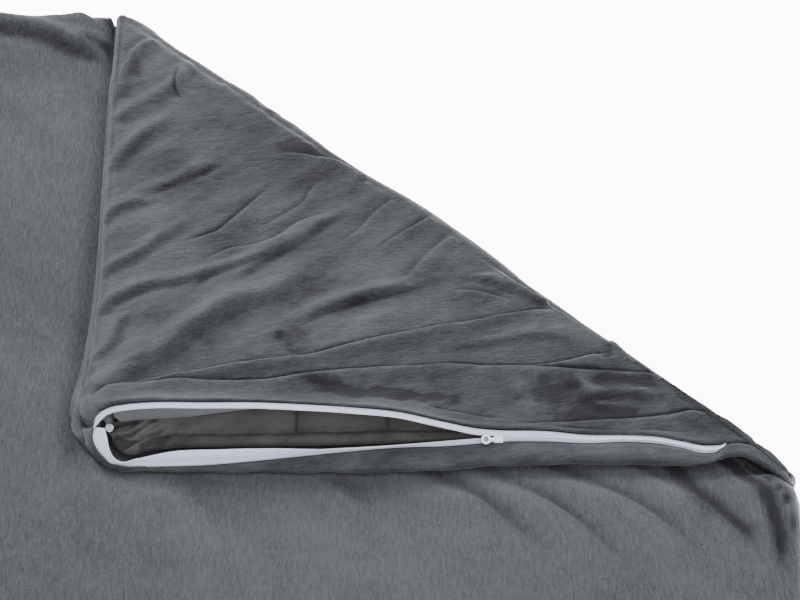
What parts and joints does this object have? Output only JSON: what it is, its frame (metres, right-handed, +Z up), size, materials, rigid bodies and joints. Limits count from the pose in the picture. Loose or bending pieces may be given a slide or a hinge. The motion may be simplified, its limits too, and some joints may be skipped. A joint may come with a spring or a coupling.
{
  "type": "zip-covered quilted blanket",
  "caption": "Thin rectangular blanket: a zip-off plush cover over a box-stitched insert, with one corner folded back and the zip's mouth part open.",
  "frame": {"origin": "on the floor, at the middle of the blanket's length and width", "axes": "+X along the blanket's length towards the end with the zip, +Y across it towards the long edge whose corner is turned back, +Z up"},
  "size_m": [1.83, 1.22, 0.0915],
  "materials": {
    "plush": "brushed pile",
    "insert_cloth": "plain weave",
    "padding": "loose fibre",
    "beads": "fine beads",
    "zip_white": "woven tape and monofilament coil",
    "slider_white": "enamelled",
    "button": "satin"
  },
  "bodies": {
    "blanket": {"cover_bottom_panel": "plush", "cover_top_panel": "plush", "insert_bead_pockets": "beads", "insert_binding": "insert_cloth", "insert_lower_padding": "padding", "insert_lower_shell": "insert_cloth", "insert_upper_padding": "padding", "insert_upper_shell": "insert_cloth", "zip_bottom_coil": "zip_white", "zip_bottom_tape": "zip_white", "zip_end_stop": "slider_white", "zip_top_coil": "zip_white", "zip_top_tape": "zip_white"},
    "corner_flap": {"corner_button": "button", "corner_loop": "insert_cloth", "cover_bottom_panel_corner": "plush", "cover_top_panel_corner": "plush", "insert_bead_pockets_corner": "beads", "insert_binding_corner": "insert_cloth", "insert_lower_padding_corner": "padding", "insert_lower_shell_corner": "insert_cloth", "insert_upper_padding_corner": "padding", "insert_upper_shell_corner": "insert_cloth", "zip_lower_coil_corner": "zip_white", "zip_lower_stop": "slider_white", "zip_lower_tape_corner": "zip_white", "zip_upper_coil_corner": "zip_white", "zip_upper_stop": "slider_white", "zip_upper_tape_corner": "zip_white"},
    "slider": {"slider_body": "slider_white"},
    "pull": {"slider_pull": "slider_white"}
  },
  "joints": [
    {"name": "corner_fold", "type": "hinge", "parent": "blanket", "child": "corner_flap", "pos_m": [0.199, 0.61, 0.0243], "axis": [-0.6915, 0.7224, 0], "range_deg": [0, 165]},
    {"name": "slider_travel", "type": "slide", "parent": "corner_flap", "child": "slider", "axis": [1, 0, 0], "range_m": [0, 0.2]},
    {"name": "pull_hinge", "type": "hinge", "parent": "slider", "child": "pull", "pos_m": [0.62505, -0.0984, 0.0474], "axis": [0, 0.7071, 0.7071], "range_deg": [0, 160]}
  ]
}
